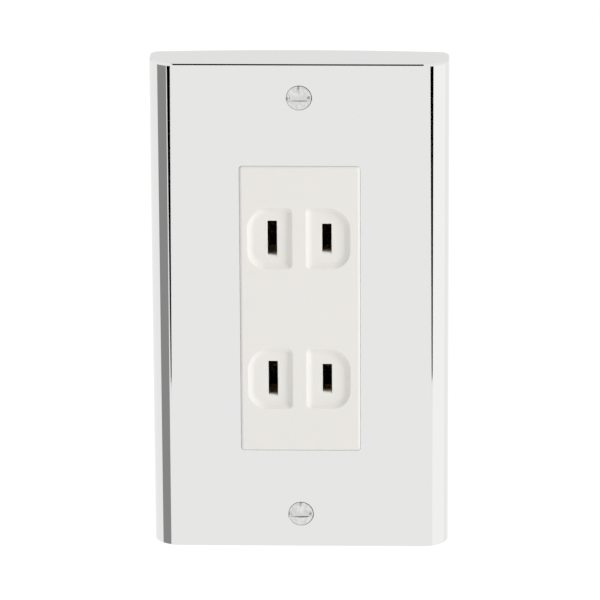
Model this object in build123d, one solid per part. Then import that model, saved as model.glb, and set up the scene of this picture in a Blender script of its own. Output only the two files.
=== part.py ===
from build123d import *
import os
from math import radians, sqrt, tan

# Duplex wall outlet, two blade slots per outlet, behind a metal cover plate.
# Millimetres. X is to the viewer's right, Z is up and the outlet faces -Y.
# The origin is midway between the two box-screw holes, on the wall plane Y = 0.

# ---- Driving dimensions ----

# Cover plate, a pressed sheet shell that is open towards the wall
PLATE_WIDTH = 70.0
PLATE_HEIGHT = 120.0
PLATE_DEPTH = 12.0
SHEET = 1.2
SHOULDER_RADIUS = 6.0
END_EDGE_RADIUS = 0.5
RIM_BOW = 1.5
RIM_CORNER_RADIUS = 2.2
WINDOW_WIDTH = 28.3
WINDOW_HEIGHT = 70.8
WINDOW_CORNER_RADIUS = 0.7

# Cover screws, M3.5 with oval heads, and the collars that keep them on the plate
COVER_SCREW_PITCH = 103.6
SCREW_RADIUS = 1.75
SCREW_HEAD_RADIUS = 2.9
SCREW_DOME_HEIGHT = 0.9
SCREW_END_Y = -0.6
SCREW_TIP_CHAMFER = 0.4
DRIVER_SLOT_WIDTH = 1.2
DRIVER_SLOT_DEPTH = 1.0
RUNNING_CLEARANCE = 0.05
THROAT_CLEARANCE = 0.15
COLLAR_RADIUS = 2.8
COLLAR_FLANGE_RADIUS = 3.4
COLLAR_FLANGE_THICKNESS = 0.6
COLLAR_LENGTH = 1.8
COLLAR_GAP = 0.1

# Mounting strap
STRAP_THICKNESS = 1.6
STRAP_WIDTH = 40.0
STRAP_HEIGHT = 113.0
STRAP_CORNER_RADIUS = 4.0
STRAP_STEP = 3.0
STRAP_STEP_START_Z = 47.0
STRAP_STEP_RUN = 1.6
STRAP_BEND_RADIUS = 1.2
STRAP_WINDOW_WIDTH = 30.0
STRAP_WINDOW_HEIGHT = 58.0
BOX_SCREW_PITCH = 83.5
BOX_HOLE_RADIUS = 2.25
CLAW_SLOT_WIDTH = 3.2
CLAW_SLOT_HEIGHT = 7.0
CLAW_SLOT_X = 12.0
THREAD_BOSS_RADIUS = 2.6
THREAD_BOSS_HEIGHT = 1.4

# Outlet face and blade slots
FACE_WIDTH = 28.0
FACE_HEIGHT = 70.5
FACE_PROUD = 0.4
FACE_EDGE_RADIUS = 0.6
FACE_CORNER_RADIUS = 0.7
FRONT_WALL = 3.4
SIDE_WALL = 2.0
OUTLET_PITCH = 34.9
BLADE_PITCH = 12.7
SLOT_WIDTH = 2.2
NEUTRAL_SLOT_HEIGHT = 8.5
LIVE_SLOT_HEIGHT = 7.1
SLOT_CHAMFER = 0.35
RECESS_INNER_X = 1.5
RECESS_OUTER_X = 12.1
RECESS_HEIGHT = 15.3
RECESS_DEPTH = 0.9
RECESS_OUTER_RADIUS = 5.0
RECESS_INNER_RADIUS = 1.4
RECESS_DRAFT = 40.0
FLANGE_WIDTH = 38.0
FRONT_FLANGE_HEIGHT = 73.0
REAR_FLANGE_HEIGHT = 67.0
FLANGE_THICKNESS = 3.0
FLANGE_CORNER_RADIUS = 3.0
RIB_THICKNESS = 1.4
CENTRE_RIB_THICKNESS = 2.4
CHAMBER_HALF_HEIGHT = 5.0

# Rear housing
HOUSING_DEPTH = 22.0
HOUSING_WIDTH = 30.0
HOUSING_HEIGHT = 57.4
HOUSING_CORNER_RADIUS = 2.0
HOUSING_CHAMFER = 0.8
REAR_WALL = 2.2
CAVITY_HALF_WIDTH = 13.0
CAVITY_HALF_HEIGHT = 27.0
BARRIER_THICKNESS = 2.0
ASSEMBLY_GAP = 0.05
WIRE_X = 6.4
WIRE_Z = 5.0
WIRE_ENTRY_RADIUS = 1.2
WIRE_MOUTH_RADIUS = 1.8
WIRE_MOUTH_DEPTH = 0.8
WIRE_BOSS_RADIUS = 2.0
WIRE_BOSS_FRONT_Y = 17.0
RELEASE_X = 10.7
RELEASE_WIDTH = 3.0
RELEASE_HEIGHT = 4.8
RELEASE_CLEARANCE = 0.1
STRIP_GAUGE_LENGTH = 12.0
STRIP_GAUGE_WIDTH = 1.0
STRIP_GAUGE_DEPTH = 0.5

# Housing rivets
RIVET_X = 16.5
RIVET_Z = 31.2
RIVET_RADIUS = 1.2
RIVET_HEAD_RADIUS = 2.2
RIVET_HEAD_HEIGHT = 0.8

# Contacts, their backing springs and bus bars
BUS_FRONT_Y = 9.0
BUS_THICKNESS = 0.8
BUS_INNER_X = 4.4
BUS_OUTER_X = 9.4
BUS_HALF_LENGTH = 25.2
CLAMP_WALL_END_Y = 16.8
CLAMP_WALL_HALF_HEIGHT = 8.5
CONTACT_THICKNESS = 0.6
CONTACT_HEIGHT = 6.6
CONTACT_BASE_HALF = 1.5
CONTACT_THROAT_GAP = 1.3
CONTACT_THROAT_Y = -5.0
CONTACT_MOUTH_HALF = 1.8
CONTACT_MOUTH_Y = -8.4
BACKING_THICKNESS = 0.4
BACKING_HEIGHT = 5.0
BACKING_GAP = 0.08
BACKING_TIP_Y = -4.0
LEAF_BEND_RADIUS = 0.5
CONTACT_RIVET_Z = 22.8
CONTACT_RIVET_RADIUS = 0.8
CONTACT_RIVET_HEAD_RADIUS = 1.5
CONTACT_RIVET_HEAD_HEIGHT = 0.5
TAB_END_Z = 24.8

# Lock springs and release buttons
SPRING_THICKNESS = 0.35
SPRING_WIDTH = 4.0
SPRING_LEG_X = 12.7
SPRING_LEG_START_Y = 8.0
SPRING_TIP = (5.52, 12.64)
SPRING_ARM_ANGLE = 30.0
SPRING_BEND_RADIUS = 0.8
SPRING_SHELF_DEPTH = 1.9
SPRING_SHELF_WIDTH = 1.4
BUTTON_TOP_Y = 21.4
BUTTON_BAR_INNER_X = 9.3
BUTTON_BAR_OUTER_X = 12.2
BUTTON_BAR_THICKNESS = 1.7
BUTTON_BAR_HALF_HEIGHT = 7.2
BUTTON_NOSE_INNER_X = 8.8
BUTTON_NOSE_OUTER_X = 9.8
BUTTON_NOSE_END_Y = 15.5
BUTTON_NOSE_WIDTH = 3.0

# ---- Levels worked out from the driving dimensions ----
PLATE_FRONT_Y = -PLATE_DEPTH
FACE_Y = PLATE_FRONT_Y - FACE_PROUD
RECESS_FLOOR_Y = FACE_Y + RECESS_DEPTH
STRAP_FRONT_Y = -STRAP_THICKNESS
TAB_FRONT_Y = STRAP_FRONT_Y - STRAP_STEP
REAR_WALL_INNER_Y = HOUSING_DEPTH - REAR_WALL
SCREW_Z = COVER_SCREW_PITCH / 2
OUTLET_Z = OUTLET_PITCH / 2
POLE_X = BLADE_PITCH / 2
TAPPED_RADIUS = SCREW_RADIUS + RUNNING_CLEARANCE
BUS_BACK_Y = BUS_FRONT_Y + BUS_THICKNESS
CONTACT_BASE_Y = BUS_FRONT_Y - BACKING_THICKNESS
LEFT = -1
RIGHT = 1
POLES = {"neutral": LEFT, "live": RIGHT}
ROWS = {"upper": 1, "lower": -1}


# ---- Helpers ----

def facing(y):
    """The plane at a given Y that looks out of the wall: its own x is X and its own y is Z."""
    return Plane.XZ.offset(-y)


def slab(sketch, back_y, front_y):
    """A sketch of X and Z made solid from back_y forwards to front_y."""
    return extrude(facing(back_y) * sketch, amount=back_y - front_y)


def block(x_range, y_range, z_range):
    """A box given by its low and high corners, in either order."""
    spans = [sorted(span) for span in (x_range, y_range, z_range)]
    low = [span[0] for span in spans]
    size = [span[1] - span[0] for span in spans]
    return Pos(*low) * Box(*size, align=(Align.MIN, Align.MIN, Align.MIN))


def rod(x, z, radius, back_y, front_y):
    """A cylinder along Y."""
    return slab(Pos(x, z) * Circle(radius), back_y, front_y)


def turned(points, x, z):
    """A solid of revolution about a line along Y, from points of (radius, y)."""
    section = make_face(Polyline(*points, close=True))
    return Pos(x, 0, z) * revolve(section, axis=Axis.Y)


def upright(sketch, low_z, high_z):
    """A sketch of X and Y made solid from low_z up to high_z."""
    return extrude(Plane.XY.offset(low_z) * sketch, amount=high_z - low_z)


def mirrored_points(points):
    """Points of one side, then the same points on the other side in reverse order."""
    return points + [(-x, y) for x, y in reversed(points)]


# ---- Cover plate and its screws ----

def shell_section(inset, rear_y, rear_middle_y):
    """The plate's section in plan: flat front, round shoulders, straight sides and a bowed back."""
    flat_x = PLATE_WIDTH / 2 - SHOULDER_RADIUS
    centre_y = PLATE_FRONT_Y + SHOULDER_RADIUS
    radius = SHOULDER_RADIUS - inset
    front_y = PLATE_FRONT_Y + inset
    side_x = PLATE_WIDTH / 2 - inset
    lean_x = flat_x + radius * sqrt(0.5)
    lean_y = centre_y - radius * sqrt(0.5)
    edges = [
        Line((-flat_x, front_y), (flat_x, front_y)),
        ThreePointArc((flat_x, front_y), (lean_x, lean_y), (side_x, centre_y)),
        Line((side_x, centre_y), (side_x, rear_y)),
        ThreePointArc((side_x, rear_y), (0, rear_middle_y), (-side_x, rear_y)),
        Line((-side_x, rear_y), (-side_x, centre_y)),
        ThreePointArc((-side_x, centre_y), (-lean_x, lean_y), (-flat_x, front_y)),
    ]
    return make_face(edges)


def cover_plate():
    half = PLATE_HEIGHT / 2
    outline = shell_section(0, -RIM_BOW, 0)
    rim_corners = [v for v in outline.vertices() if abs(v.Y + RIM_BOW) < 0.01]
    shell = upright(fillet(rim_corners, RIM_CORNER_RADIUS), -half, half)
    end_edges = [e for e in shell.edges() if abs(abs(e.center().Z) - half) < 0.01]
    shell = fillet(end_edges, END_EDGE_RADIUS)
    shell -= upright(shell_section(SHEET, 1, 2), SHEET - half, half - SHEET)
    window = RectangleRounded(WINDOW_WIDTH, WINDOW_HEIGHT, WINDOW_CORNER_RADIUS)
    shell -= slab(window, 0, PLATE_FRONT_Y - 1)
    seat_radius = SCREW_HEAD_RADIUS + RUNNING_CLEARANCE
    throat_radius = SCREW_RADIUS + THROAT_CLEARANCE
    throat_y = PLATE_FRONT_Y + seat_radius - throat_radius
    seat = [
        (0, PLATE_FRONT_Y - 1),
        (seat_radius, PLATE_FRONT_Y - 1),
        (seat_radius, PLATE_FRONT_Y),
        (throat_radius, throat_y),
        (throat_radius, PLATE_FRONT_Y + 2 * SHEET),
        (0, PLATE_FRONT_Y + 2 * SHEET),
    ]
    for side in ROWS.values():
        shell -= turned(seat, 0, side * SCREW_Z)
    return shell


def cover_screw(side):
    """An oval countersunk head on a plain shank, with a level driver slot."""
    top_y = PLATE_FRONT_Y - SCREW_DOME_HEIGHT
    cone_end_y = PLATE_FRONT_Y + SCREW_HEAD_RADIUS - SCREW_RADIUS
    dome_radius = (SCREW_HEAD_RADIUS**2 + SCREW_DOME_HEIGHT**2) / (2 * SCREW_DOME_HEIGHT)
    edges = [
        RadiusArc((SCREW_HEAD_RADIUS, PLATE_FRONT_Y), (0, top_y), dome_radius),
        Polyline(
            (SCREW_HEAD_RADIUS, PLATE_FRONT_Y),
            (SCREW_RADIUS, cone_end_y),
            (SCREW_RADIUS, SCREW_END_Y - SCREW_TIP_CHAMFER),
            (SCREW_RADIUS - SCREW_TIP_CHAMFER, SCREW_END_Y),
            (0, SCREW_END_Y),
            (0, top_y),
        ),
    ]
    screw = revolve(make_face(edges), axis=Axis.Y)
    reach = 2 * SCREW_HEAD_RADIUS
    slot_half = DRIVER_SLOT_WIDTH / 2
    screw -= block((-reach, reach), (top_y - 1, top_y + DRIVER_SLOT_DEPTH), (-slot_half, slot_half))
    return Pos(0, 0, side * SCREW_Z) * screw


def screw_collar(side):
    """A flanged ring that rides on the screw between the strap and the plate."""
    back_y = TAB_FRONT_Y - COLLAR_GAP
    step_y = back_y - COLLAR_FLANGE_THICKNESS
    front_y = back_y - COLLAR_LENGTH
    ring = [
        (TAPPED_RADIUS, back_y),
        (COLLAR_FLANGE_RADIUS, back_y),
        (COLLAR_FLANGE_RADIUS, step_y),
        (COLLAR_RADIUS, step_y),
        (COLLAR_RADIUS, front_y),
        (TAPPED_RADIUS, front_y),
    ]
    return turned(ring, 0, side * SCREW_Z)


# ---- Mounting strap ----

def strap_side_section():
    """The bent strip seen from the side, as Y and Z: flat in the middle, stepped forwards at both ends."""
    flat_y = -STRAP_THICKNESS / 2
    tab_y = flat_y - STRAP_STEP
    step_end_z = STRAP_STEP_START_Z + STRAP_STEP_RUN
    upper = [(flat_y, STRAP_STEP_START_Z), (tab_y, step_end_z), (tab_y, STRAP_HEIGHT / 2)]
    lower = [(y, -z) for y, z in reversed(upper)]
    return trace(FilletPolyline(*lower, *upper, radius=STRAP_BEND_RADIUS), STRAP_THICKNESS)


def mounting_strap():
    strap = extrude(Plane.YZ * strap_side_section(), amount=STRAP_WIDTH / 2, both=True)
    outline = RectangleRounded(STRAP_WIDTH, STRAP_HEIGHT, STRAP_CORNER_RADIUS)
    strap &= slab(outline, 1, TAB_FRONT_Y - 1)
    strap -= slab(Rectangle(STRAP_WINDOW_WIDTH, STRAP_WINDOW_HEIGHT), 1, TAB_FRONT_Y)
    for side in ROWS.values():
        boss_back_y = TAB_FRONT_Y + STRAP_THICKNESS + THREAD_BOSS_HEIGHT
        strap += rod(0, side * SCREW_Z, THREAD_BOSS_RADIUS, boss_back_y, TAB_FRONT_Y + STRAP_THICKNESS / 2)
        strap -= rod(0, side * SCREW_Z, TAPPED_RADIUS, 1, TAB_FRONT_Y - 1)
        box_z = side * BOX_SCREW_PITCH / 2
        strap -= rod(0, box_z, BOX_HOLE_RADIUS, 1, STRAP_FRONT_Y - 1)
        for hand in (LEFT, RIGHT):
            claw_slot = SlotOverall(CLAW_SLOT_HEIGHT, CLAW_SLOT_WIDTH, rotation=90)
            strap -= slab(Pos(hand * CLAW_SLOT_X, box_z) * claw_slot, 1, STRAP_FRONT_Y - 1)
    return drill_rivet_holes(strap)


def rivet_places():
    return [(hand * RIVET_X, side * RIVET_Z) for hand in (LEFT, RIGHT) for side in (1, -1)]


def drill_rivet_holes(piece):
    for x, z in rivet_places():
        piece -= rod(x, z, RIVET_RADIUS + ASSEMBLY_GAP, FLANGE_THICKNESS + 1, TAB_FRONT_Y - 1)
    return piece


# ---- Front housing ----

def recess(hand, side):
    """A shallow D-shaped dish around one slot, wide at the face and narrower at its floor."""
    low_x, high_x = sorted((hand * RECESS_INNER_X, hand * RECESS_OUTER_X))
    outline = Pos((low_x + high_x) / 2, side * OUTLET_Z) * Rectangle(high_x - low_x, RECESS_HEIGHT)
    outer = [v for v in outline.vertices() if abs(v.X - hand * RECESS_OUTER_X) < 0.01]
    outline = fillet(outer, RECESS_OUTER_RADIUS)
    inner = [v for v in outline.vertices() if abs(v.X - hand * RECESS_INNER_X) < 0.01]
    outline = fillet(inner, RECESS_INNER_RADIUS)
    return extrude(facing(FACE_Y) * outline, amount=-RECESS_DEPTH, taper=RECESS_DRAFT)


def blade_slot(hand, side):
    """A straight slot with a chamfered mouth in the floor of its recess."""
    height = NEUTRAL_SLOT_HEIGHT if hand == LEFT else LIVE_SLOT_HEIGHT
    centre = Pos(hand * POLE_X, side * OUTLET_Z)
    slot = slab(centre * Rectangle(SLOT_WIDTH, height), FACE_Y + FRONT_WALL + 1, RECESS_FLOOR_Y - 1)
    mouth = Rectangle(SLOT_WIDTH + 2 * SLOT_CHAMFER, height + 2 * SLOT_CHAMFER)
    return slot + extrude(facing(RECESS_FLOOR_Y) * centre * mouth, amount=-SLOT_CHAMFER, taper=45)


def face_ribs():
    """Walls inside the face block: one between the poles and one above and below each contact chamber."""
    back_y = STRAP_FRONT_Y
    front_y = FACE_Y + FRONT_WALL - 0.5
    half_width = FACE_WIDTH / 2 - SIDE_WALL / 2
    half_height = FACE_HEIGHT / 2 - SIDE_WALL / 2
    centre_half = CENTRE_RIB_THICKNESS / 2
    ribs = block((-centre_half, centre_half), (front_y, back_y), (-half_height, half_height))
    for side in ROWS.values():
        for step in (-1, 1):
            near_z = side * OUTLET_Z + step * CHAMBER_HALF_HEIGHT
            far_z = near_z + step * RIB_THICKNESS
            ribs += block((-half_width, half_width), (front_y, back_y), (near_z, far_z))
    return ribs


def front_housing():
    face = RectangleRounded(FACE_WIDTH, FACE_HEIGHT, FACE_CORNER_RADIUS)
    housing = slab(face, STRAP_FRONT_Y, FACE_Y)
    housing = fillet([e for e in housing.edges() if abs(e.center().Y - FACE_Y) < 0.01], FACE_EDGE_RADIUS)
    flange = RectangleRounded(FLANGE_WIDTH, FRONT_FLANGE_HEIGHT, FLANGE_CORNER_RADIUS)
    housing += slab(flange, STRAP_FRONT_Y, STRAP_FRONT_Y - FLANGE_THICKNESS)
    hollow = Rectangle(FACE_WIDTH - 2 * SIDE_WALL, FACE_HEIGHT - 2 * SIDE_WALL)
    housing -= slab(hollow, STRAP_FRONT_Y + 1, FACE_Y + FRONT_WALL)
    housing += face_ribs()
    for hand in (LEFT, RIGHT):
        for side in ROWS.values():
            housing -= recess(hand, side)
            housing -= blade_slot(hand, side)
    return drill_rivet_holes(housing)


# ---- Rear housing ----

def pole_cavity(hand):
    """The hollow of one pole, less the parts of the moulding that stand in it."""
    near, far = hand * BARRIER_THICKNESS / 2, hand * CAVITY_HALF_WIDTH
    cavity = block(
        (near, far), (STRAP_FRONT_Y - 1, REAR_WALL_INNER_Y), (-CAVITY_HALF_HEIGHT, CAVITY_HALF_HEIGHT)
    )
    bus_rest_y = BUS_BACK_Y + ASSEMBLY_GAP
    shelf_back_y = SPRING_LEG_START_Y - ASSEMBLY_GAP
    shelf_front_y = shelf_back_y - SPRING_SHELF_DEPTH
    for side in (1, -1):
        terminal_wall_z = side * (WIRE_Z + SPRING_WIDTH + WIRE_BOSS_RADIUS)
        end_post_z = side * (CONTACT_RIVET_Z + WIRE_BOSS_RADIUS)
        cavity -= block(
            (near, far), (bus_rest_y, HOUSING_DEPTH), (terminal_wall_z, terminal_wall_z + side * RIB_THICKNESS)
        )
        cavity -= block((near, far), (bus_rest_y, HOUSING_DEPTH), (end_post_z, side * (CAVITY_HALF_HEIGHT + 1)))
        cavity -= rod(hand * WIRE_X, side * WIRE_Z, WIRE_BOSS_RADIUS, HOUSING_DEPTH, WIRE_BOSS_FRONT_Y)
        cavity -= block(
            (far, far - hand * SPRING_SHELF_WIDTH),
            (shelf_front_y, shelf_back_y),
            (side * (WIRE_Z - SPRING_WIDTH / 2), side * (WIRE_Z + SPRING_WIDTH / 2)),
        )
    return cavity


def rear_housing():
    upstand = Rectangle(STRAP_WINDOW_WIDTH - 4 * ASSEMBLY_GAP, STRAP_WINDOW_HEIGHT - 4 * ASSEMBLY_GAP)
    casing = RectangleRounded(HOUSING_WIDTH, HOUSING_HEIGHT, HOUSING_CORNER_RADIUS)
    housing = slab(casing, HOUSING_DEPTH, 0)
    housing = chamfer([e for e in housing.edges() if abs(e.center().Y - HOUSING_DEPTH) < 0.01], HOUSING_CHAMFER)
    housing += slab(RectangleRounded(FLANGE_WIDTH, REAR_FLANGE_HEIGHT, FLANGE_CORNER_RADIUS), FLANGE_THICKNESS, 0)
    housing += slab(upstand, FLANGE_THICKNESS, STRAP_FRONT_Y + ASSEMBLY_GAP)
    release_opening = Rectangle(RELEASE_WIDTH + 2 * RELEASE_CLEARANCE, RELEASE_HEIGHT + 2 * RELEASE_CLEARANCE)
    past_back_y = HOUSING_DEPTH + 1
    for hand in (LEFT, RIGHT):
        housing -= pole_cavity(hand)
        housing -= slab(Pos(hand * RELEASE_X, 0) * release_opening, past_back_y, REAR_WALL_INNER_Y - 1)
        for side in (1, -1):
            x, z = hand * WIRE_X, side * WIRE_Z
            housing -= rod(x, z, WIRE_ENTRY_RADIUS, past_back_y, WIRE_BOSS_FRONT_Y - 1)
            housing -= rod(x, z, WIRE_MOUTH_RADIUS, past_back_y, HOUSING_DEPTH - WIRE_MOUTH_DEPTH)
    gauge = Pos(0, OUTLET_Z) * SlotOverall(STRIP_GAUGE_LENGTH, STRIP_GAUGE_WIDTH, rotation=90)
    housing -= slab(gauge, past_back_y, HOUSING_DEPTH - STRIP_GAUGE_DEPTH)
    return drill_rivet_holes(housing)


def housing_rivets():
    front_y = STRAP_FRONT_Y - FLANGE_THICKNESS
    back_y = FLANGE_THICKNESS
    rivets = []
    for x, z in rivet_places():
        profile = [
            (0, front_y - RIVET_HEAD_HEIGHT),
            (RIVET_HEAD_RADIUS - RIVET_HEAD_HEIGHT / 2, front_y - RIVET_HEAD_HEIGHT),
            (RIVET_HEAD_RADIUS, front_y),
            (RIVET_RADIUS, front_y),
            (RIVET_RADIUS, back_y),
            (RIVET_HEAD_RADIUS, back_y),
            (RIVET_HEAD_RADIUS - RIVET_HEAD_HEIGHT / 2, back_y + RIVET_HEAD_HEIGHT),
            (0, back_y + RIVET_HEAD_HEIGHT),
        ]
        rivets.append(turned(profile, x, z))
    return Compound(rivets)


# ---- Contacts and bus bars ----

def leaf_pair(points, thickness, height, hand, side):
    """Two facing leaves joined by a base, bent from one strip, from the points of the right-hand leaf."""
    path = FilletPolyline(*mirrored_points(points), radius=LEAF_BEND_RADIUS)
    strip = Pos(hand * POLE_X, 0) * trace(path, thickness)
    middle = side * OUTLET_Z
    return upright(strip, middle - height / 2, middle + height / 2)


def riveted_tab(hand, side, half_width, front_y, back_y):
    """The part of a contact's or spring's base that reaches past the leaves to the rivet."""
    x = hand * POLE_X
    tab = block((x - half_width, x + half_width), (front_y, back_y), (side * OUTLET_Z, side * TAB_END_Z))
    return tab - rod(x, side * CONTACT_RIVET_Z, CONTACT_RIVET_RADIUS + ASSEMBLY_GAP, back_y + 1, front_y - 1)


def contact(hand, side):
    half = CONTACT_THICKNESS / 2
    base_y = CONTACT_BASE_Y - half
    leaf = [
        (CONTACT_MOUTH_HALF, CONTACT_MOUTH_Y),
        (CONTACT_THROAT_GAP / 2 + half, CONTACT_THROAT_Y),
        (CONTACT_BASE_HALF, base_y),
    ]
    piece = leaf_pair(leaf, CONTACT_THICKNESS, CONTACT_HEIGHT, hand, side)
    tab_half = CONTACT_BASE_HALF - LEAF_BEND_RADIUS
    return piece + riveted_tab(hand, side, tab_half, base_y - half, base_y + half)


def contact_spring(hand, side):
    """A steel clip outside the contact's leaves, with its base between the contact and the bus bar."""
    half = BACKING_THICKNESS / 2
    apart = (CONTACT_THICKNESS + BACKING_THICKNESS) / 2 + BACKING_GAP
    base_y = BUS_FRONT_Y - half
    throat_half = CONTACT_THROAT_GAP / 2 + CONTACT_THICKNESS / 2
    leaf = [(throat_half + apart, BACKING_TIP_Y), (CONTACT_BASE_HALF + apart, base_y)]
    piece = leaf_pair(leaf, BACKING_THICKNESS, BACKING_HEIGHT, hand, side)
    tab_half = CONTACT_BASE_HALF - LEAF_BEND_RADIUS
    return piece + riveted_tab(hand, side, tab_half, base_y - half, base_y + half)


def bus_bar(hand):
    """A flat bar behind both receivers of a pole, with a wall that the wires are pressed against."""
    inner, outer = hand * BUS_INNER_X, hand * BUS_OUTER_X
    bar = block((inner, outer), (BUS_FRONT_Y, BUS_BACK_Y), (-BUS_HALF_LENGTH, BUS_HALF_LENGTH))
    bar += block(
        (inner, inner + hand * BUS_THICKNESS),
        (BUS_FRONT_Y, CLAMP_WALL_END_Y),
        (-CLAMP_WALL_HALF_HEIGHT, CLAMP_WALL_HALF_HEIGHT),
    )
    for side in ROWS.values():
        hole_radius = CONTACT_RIVET_RADIUS + ASSEMBLY_GAP
        bar -= rod(hand * POLE_X, side * CONTACT_RIVET_Z, hole_radius, BUS_BACK_Y + 1, BUS_FRONT_Y - 1)
    return bar


def contact_rivets():
    front_y = CONTACT_BASE_Y - CONTACT_THICKNESS
    rivets = []
    for hand in POLES.values():
        for side in ROWS.values():
            profile = [
                (0, front_y - CONTACT_RIVET_HEAD_HEIGHT),
                (CONTACT_RIVET_HEAD_RADIUS, front_y - CONTACT_RIVET_HEAD_HEIGHT),
                (CONTACT_RIVET_HEAD_RADIUS, front_y),
                (CONTACT_RIVET_RADIUS, front_y),
                (CONTACT_RIVET_RADIUS, BUS_BACK_Y),
                (CONTACT_RIVET_HEAD_RADIUS, BUS_BACK_Y),
                (CONTACT_RIVET_HEAD_RADIUS, BUS_BACK_Y + CONTACT_RIVET_HEAD_HEIGHT),
                (0, BUS_BACK_Y + CONTACT_RIVET_HEAD_HEIGHT),
            ]
            rivets.append(turned(profile, hand * POLE_X, side * CONTACT_RIVET_Z))
    return Compound(rivets)


# ---- Wire lock springs and release buttons ----

def lock_spring(hand, side):
    """A leaf whose leg stands against the casing and whose arm leans across the wire's way in."""
    tip_x, tip_y = SPRING_TIP
    corner_y = tip_y + (SPRING_LEG_X - tip_x) * tan(radians(SPRING_ARM_ANGLE))
    corners = [(SPRING_LEG_X, SPRING_LEG_START_Y), (SPRING_LEG_X, corner_y), (tip_x, tip_y)]
    path = FilletPolyline(*[(hand * x, y) for x, y in corners], radius=SPRING_BEND_RADIUS)
    middle = side * WIRE_Z
    return upright(trace(path, SPRING_THICKNESS), middle - SPRING_WIDTH / 2, middle + SPRING_WIDTH / 2)


def release_button(hand):
    """A stem in the rear window, a bar that stops it inside, and a nose above each lock spring's arm."""
    bar_back_y = REAR_WALL_INNER_Y - RELEASE_CLEARANCE
    bar_front_y = bar_back_y - BUTTON_BAR_THICKNESS
    stem_x = (hand * (RELEASE_X - RELEASE_WIDTH / 2), hand * (RELEASE_X + RELEASE_WIDTH / 2))
    bar_x = (hand * BUTTON_BAR_INNER_X, hand * BUTTON_BAR_OUTER_X)
    nose_x = (hand * BUTTON_NOSE_INNER_X, hand * BUTTON_NOSE_OUTER_X)
    button = block(stem_x, (bar_front_y, BUTTON_TOP_Y), (-RELEASE_HEIGHT / 2, RELEASE_HEIGHT / 2))
    button += block(bar_x, (bar_front_y, bar_back_y), (-BUTTON_BAR_HALF_HEIGHT, BUTTON_BAR_HALF_HEIGHT))
    for side in (1, -1):
        nose_z = (side * WIRE_Z - BUTTON_NOSE_WIDTH / 2, side * WIRE_Z + BUTTON_NOSE_WIDTH / 2)
        button += block(nose_x, (BUTTON_NOSE_END_Y, bar_front_y + 0.5), nose_z)
        bridge_x = (hand * BUTTON_NOSE_INNER_X, hand * BUTTON_BAR_INNER_X)
        button += block(bridge_x, (bar_front_y - 0.6, bar_front_y + 0.5), nose_z)
    return button


# ---- Assembly ----

def all_parts():
    parts = {
        "cover_plate": cover_plate(),
        "mounting_strap": mounting_strap(),
        "front_housing": front_housing(),
        "rear_housing": rear_housing(),
        "housing_rivets": housing_rivets(),
        "contact_rivets": contact_rivets(),
    }
    for row, side in ROWS.items():
        parts[f"cover_screw_{row}"] = cover_screw(side)
        parts[f"screw_collar_{row}"] = screw_collar(side)
    for pole, hand in POLES.items():
        parts[f"bus_bar_{pole}"] = bus_bar(hand)
        parts[f"release_button_{pole}"] = release_button(hand)
        for row, side in ROWS.items():
            parts[f"contact_{row}_{pole}"] = contact(hand, side)
            parts[f"contact_spring_{row}_{pole}"] = contact_spring(hand, side)
            parts[f"lock_spring_{row}_{pole}"] = lock_spring(hand, side)
    return parts


os.makedirs("parts", exist_ok=True)
for name, shape in all_parts().items():
    export_step(shape, f"parts/{name}.step")
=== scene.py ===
"""Duplex wall outlet with a chromed cover plate: the visual model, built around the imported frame."""
import math

import bmesh
import bpy
from mathutils import Matrix, Vector
from mathutils.geometry import tessellate_polygon


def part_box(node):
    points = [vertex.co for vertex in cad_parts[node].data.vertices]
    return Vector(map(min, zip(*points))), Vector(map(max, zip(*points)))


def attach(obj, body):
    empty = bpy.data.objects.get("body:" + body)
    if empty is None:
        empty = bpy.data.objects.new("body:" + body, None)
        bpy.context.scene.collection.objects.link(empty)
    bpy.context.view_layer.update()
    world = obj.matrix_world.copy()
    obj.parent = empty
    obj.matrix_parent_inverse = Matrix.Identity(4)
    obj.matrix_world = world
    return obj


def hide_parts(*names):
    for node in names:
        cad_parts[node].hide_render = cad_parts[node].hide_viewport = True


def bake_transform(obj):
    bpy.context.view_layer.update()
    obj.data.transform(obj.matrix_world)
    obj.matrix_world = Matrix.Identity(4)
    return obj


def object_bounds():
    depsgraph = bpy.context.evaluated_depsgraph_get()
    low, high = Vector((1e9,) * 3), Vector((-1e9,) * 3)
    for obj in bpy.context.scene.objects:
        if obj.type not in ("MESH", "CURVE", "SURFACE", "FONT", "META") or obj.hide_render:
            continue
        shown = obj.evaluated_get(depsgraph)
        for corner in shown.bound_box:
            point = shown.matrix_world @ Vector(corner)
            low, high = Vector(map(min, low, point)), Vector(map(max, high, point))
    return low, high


MM = 0.001
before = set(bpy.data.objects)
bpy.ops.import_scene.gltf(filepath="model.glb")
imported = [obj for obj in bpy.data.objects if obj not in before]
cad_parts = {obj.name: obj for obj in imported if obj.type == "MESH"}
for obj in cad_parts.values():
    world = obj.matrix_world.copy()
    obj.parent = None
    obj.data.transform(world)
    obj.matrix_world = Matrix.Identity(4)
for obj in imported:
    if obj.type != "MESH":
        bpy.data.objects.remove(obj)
cad_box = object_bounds()


# ---- Camera ----

CAMERA_ELEVATION = 19.27
CAMERA_YAW = 1.61
CAMERA_ROLL = -0.30
CAMERA_DISTANCE = 1.343
CAMERA_LENS = 342.4
CAMERA_SHIFT_X = 0.0003
CAMERA_SHIFT_Y = 0.0144


def direction(azimuth, elevation):
    """A unit vector: azimuth 0 looks out of the plate along -Y and grows towards +X."""
    az, el = math.radians(azimuth), math.radians(elevation)
    return Vector((math.sin(az) * math.cos(el), -math.cos(az) * math.cos(el), math.sin(el)))


def overhead(side, along):
    """A unit vector: along turns from the front (0) over the top (90) to the back, side leans to +X."""
    turn, lean = math.radians(along), math.radians(side)
    return Vector((math.sin(lean), -math.cos(turn) * math.cos(lean), math.sin(turn) * math.cos(lean)))


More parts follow.
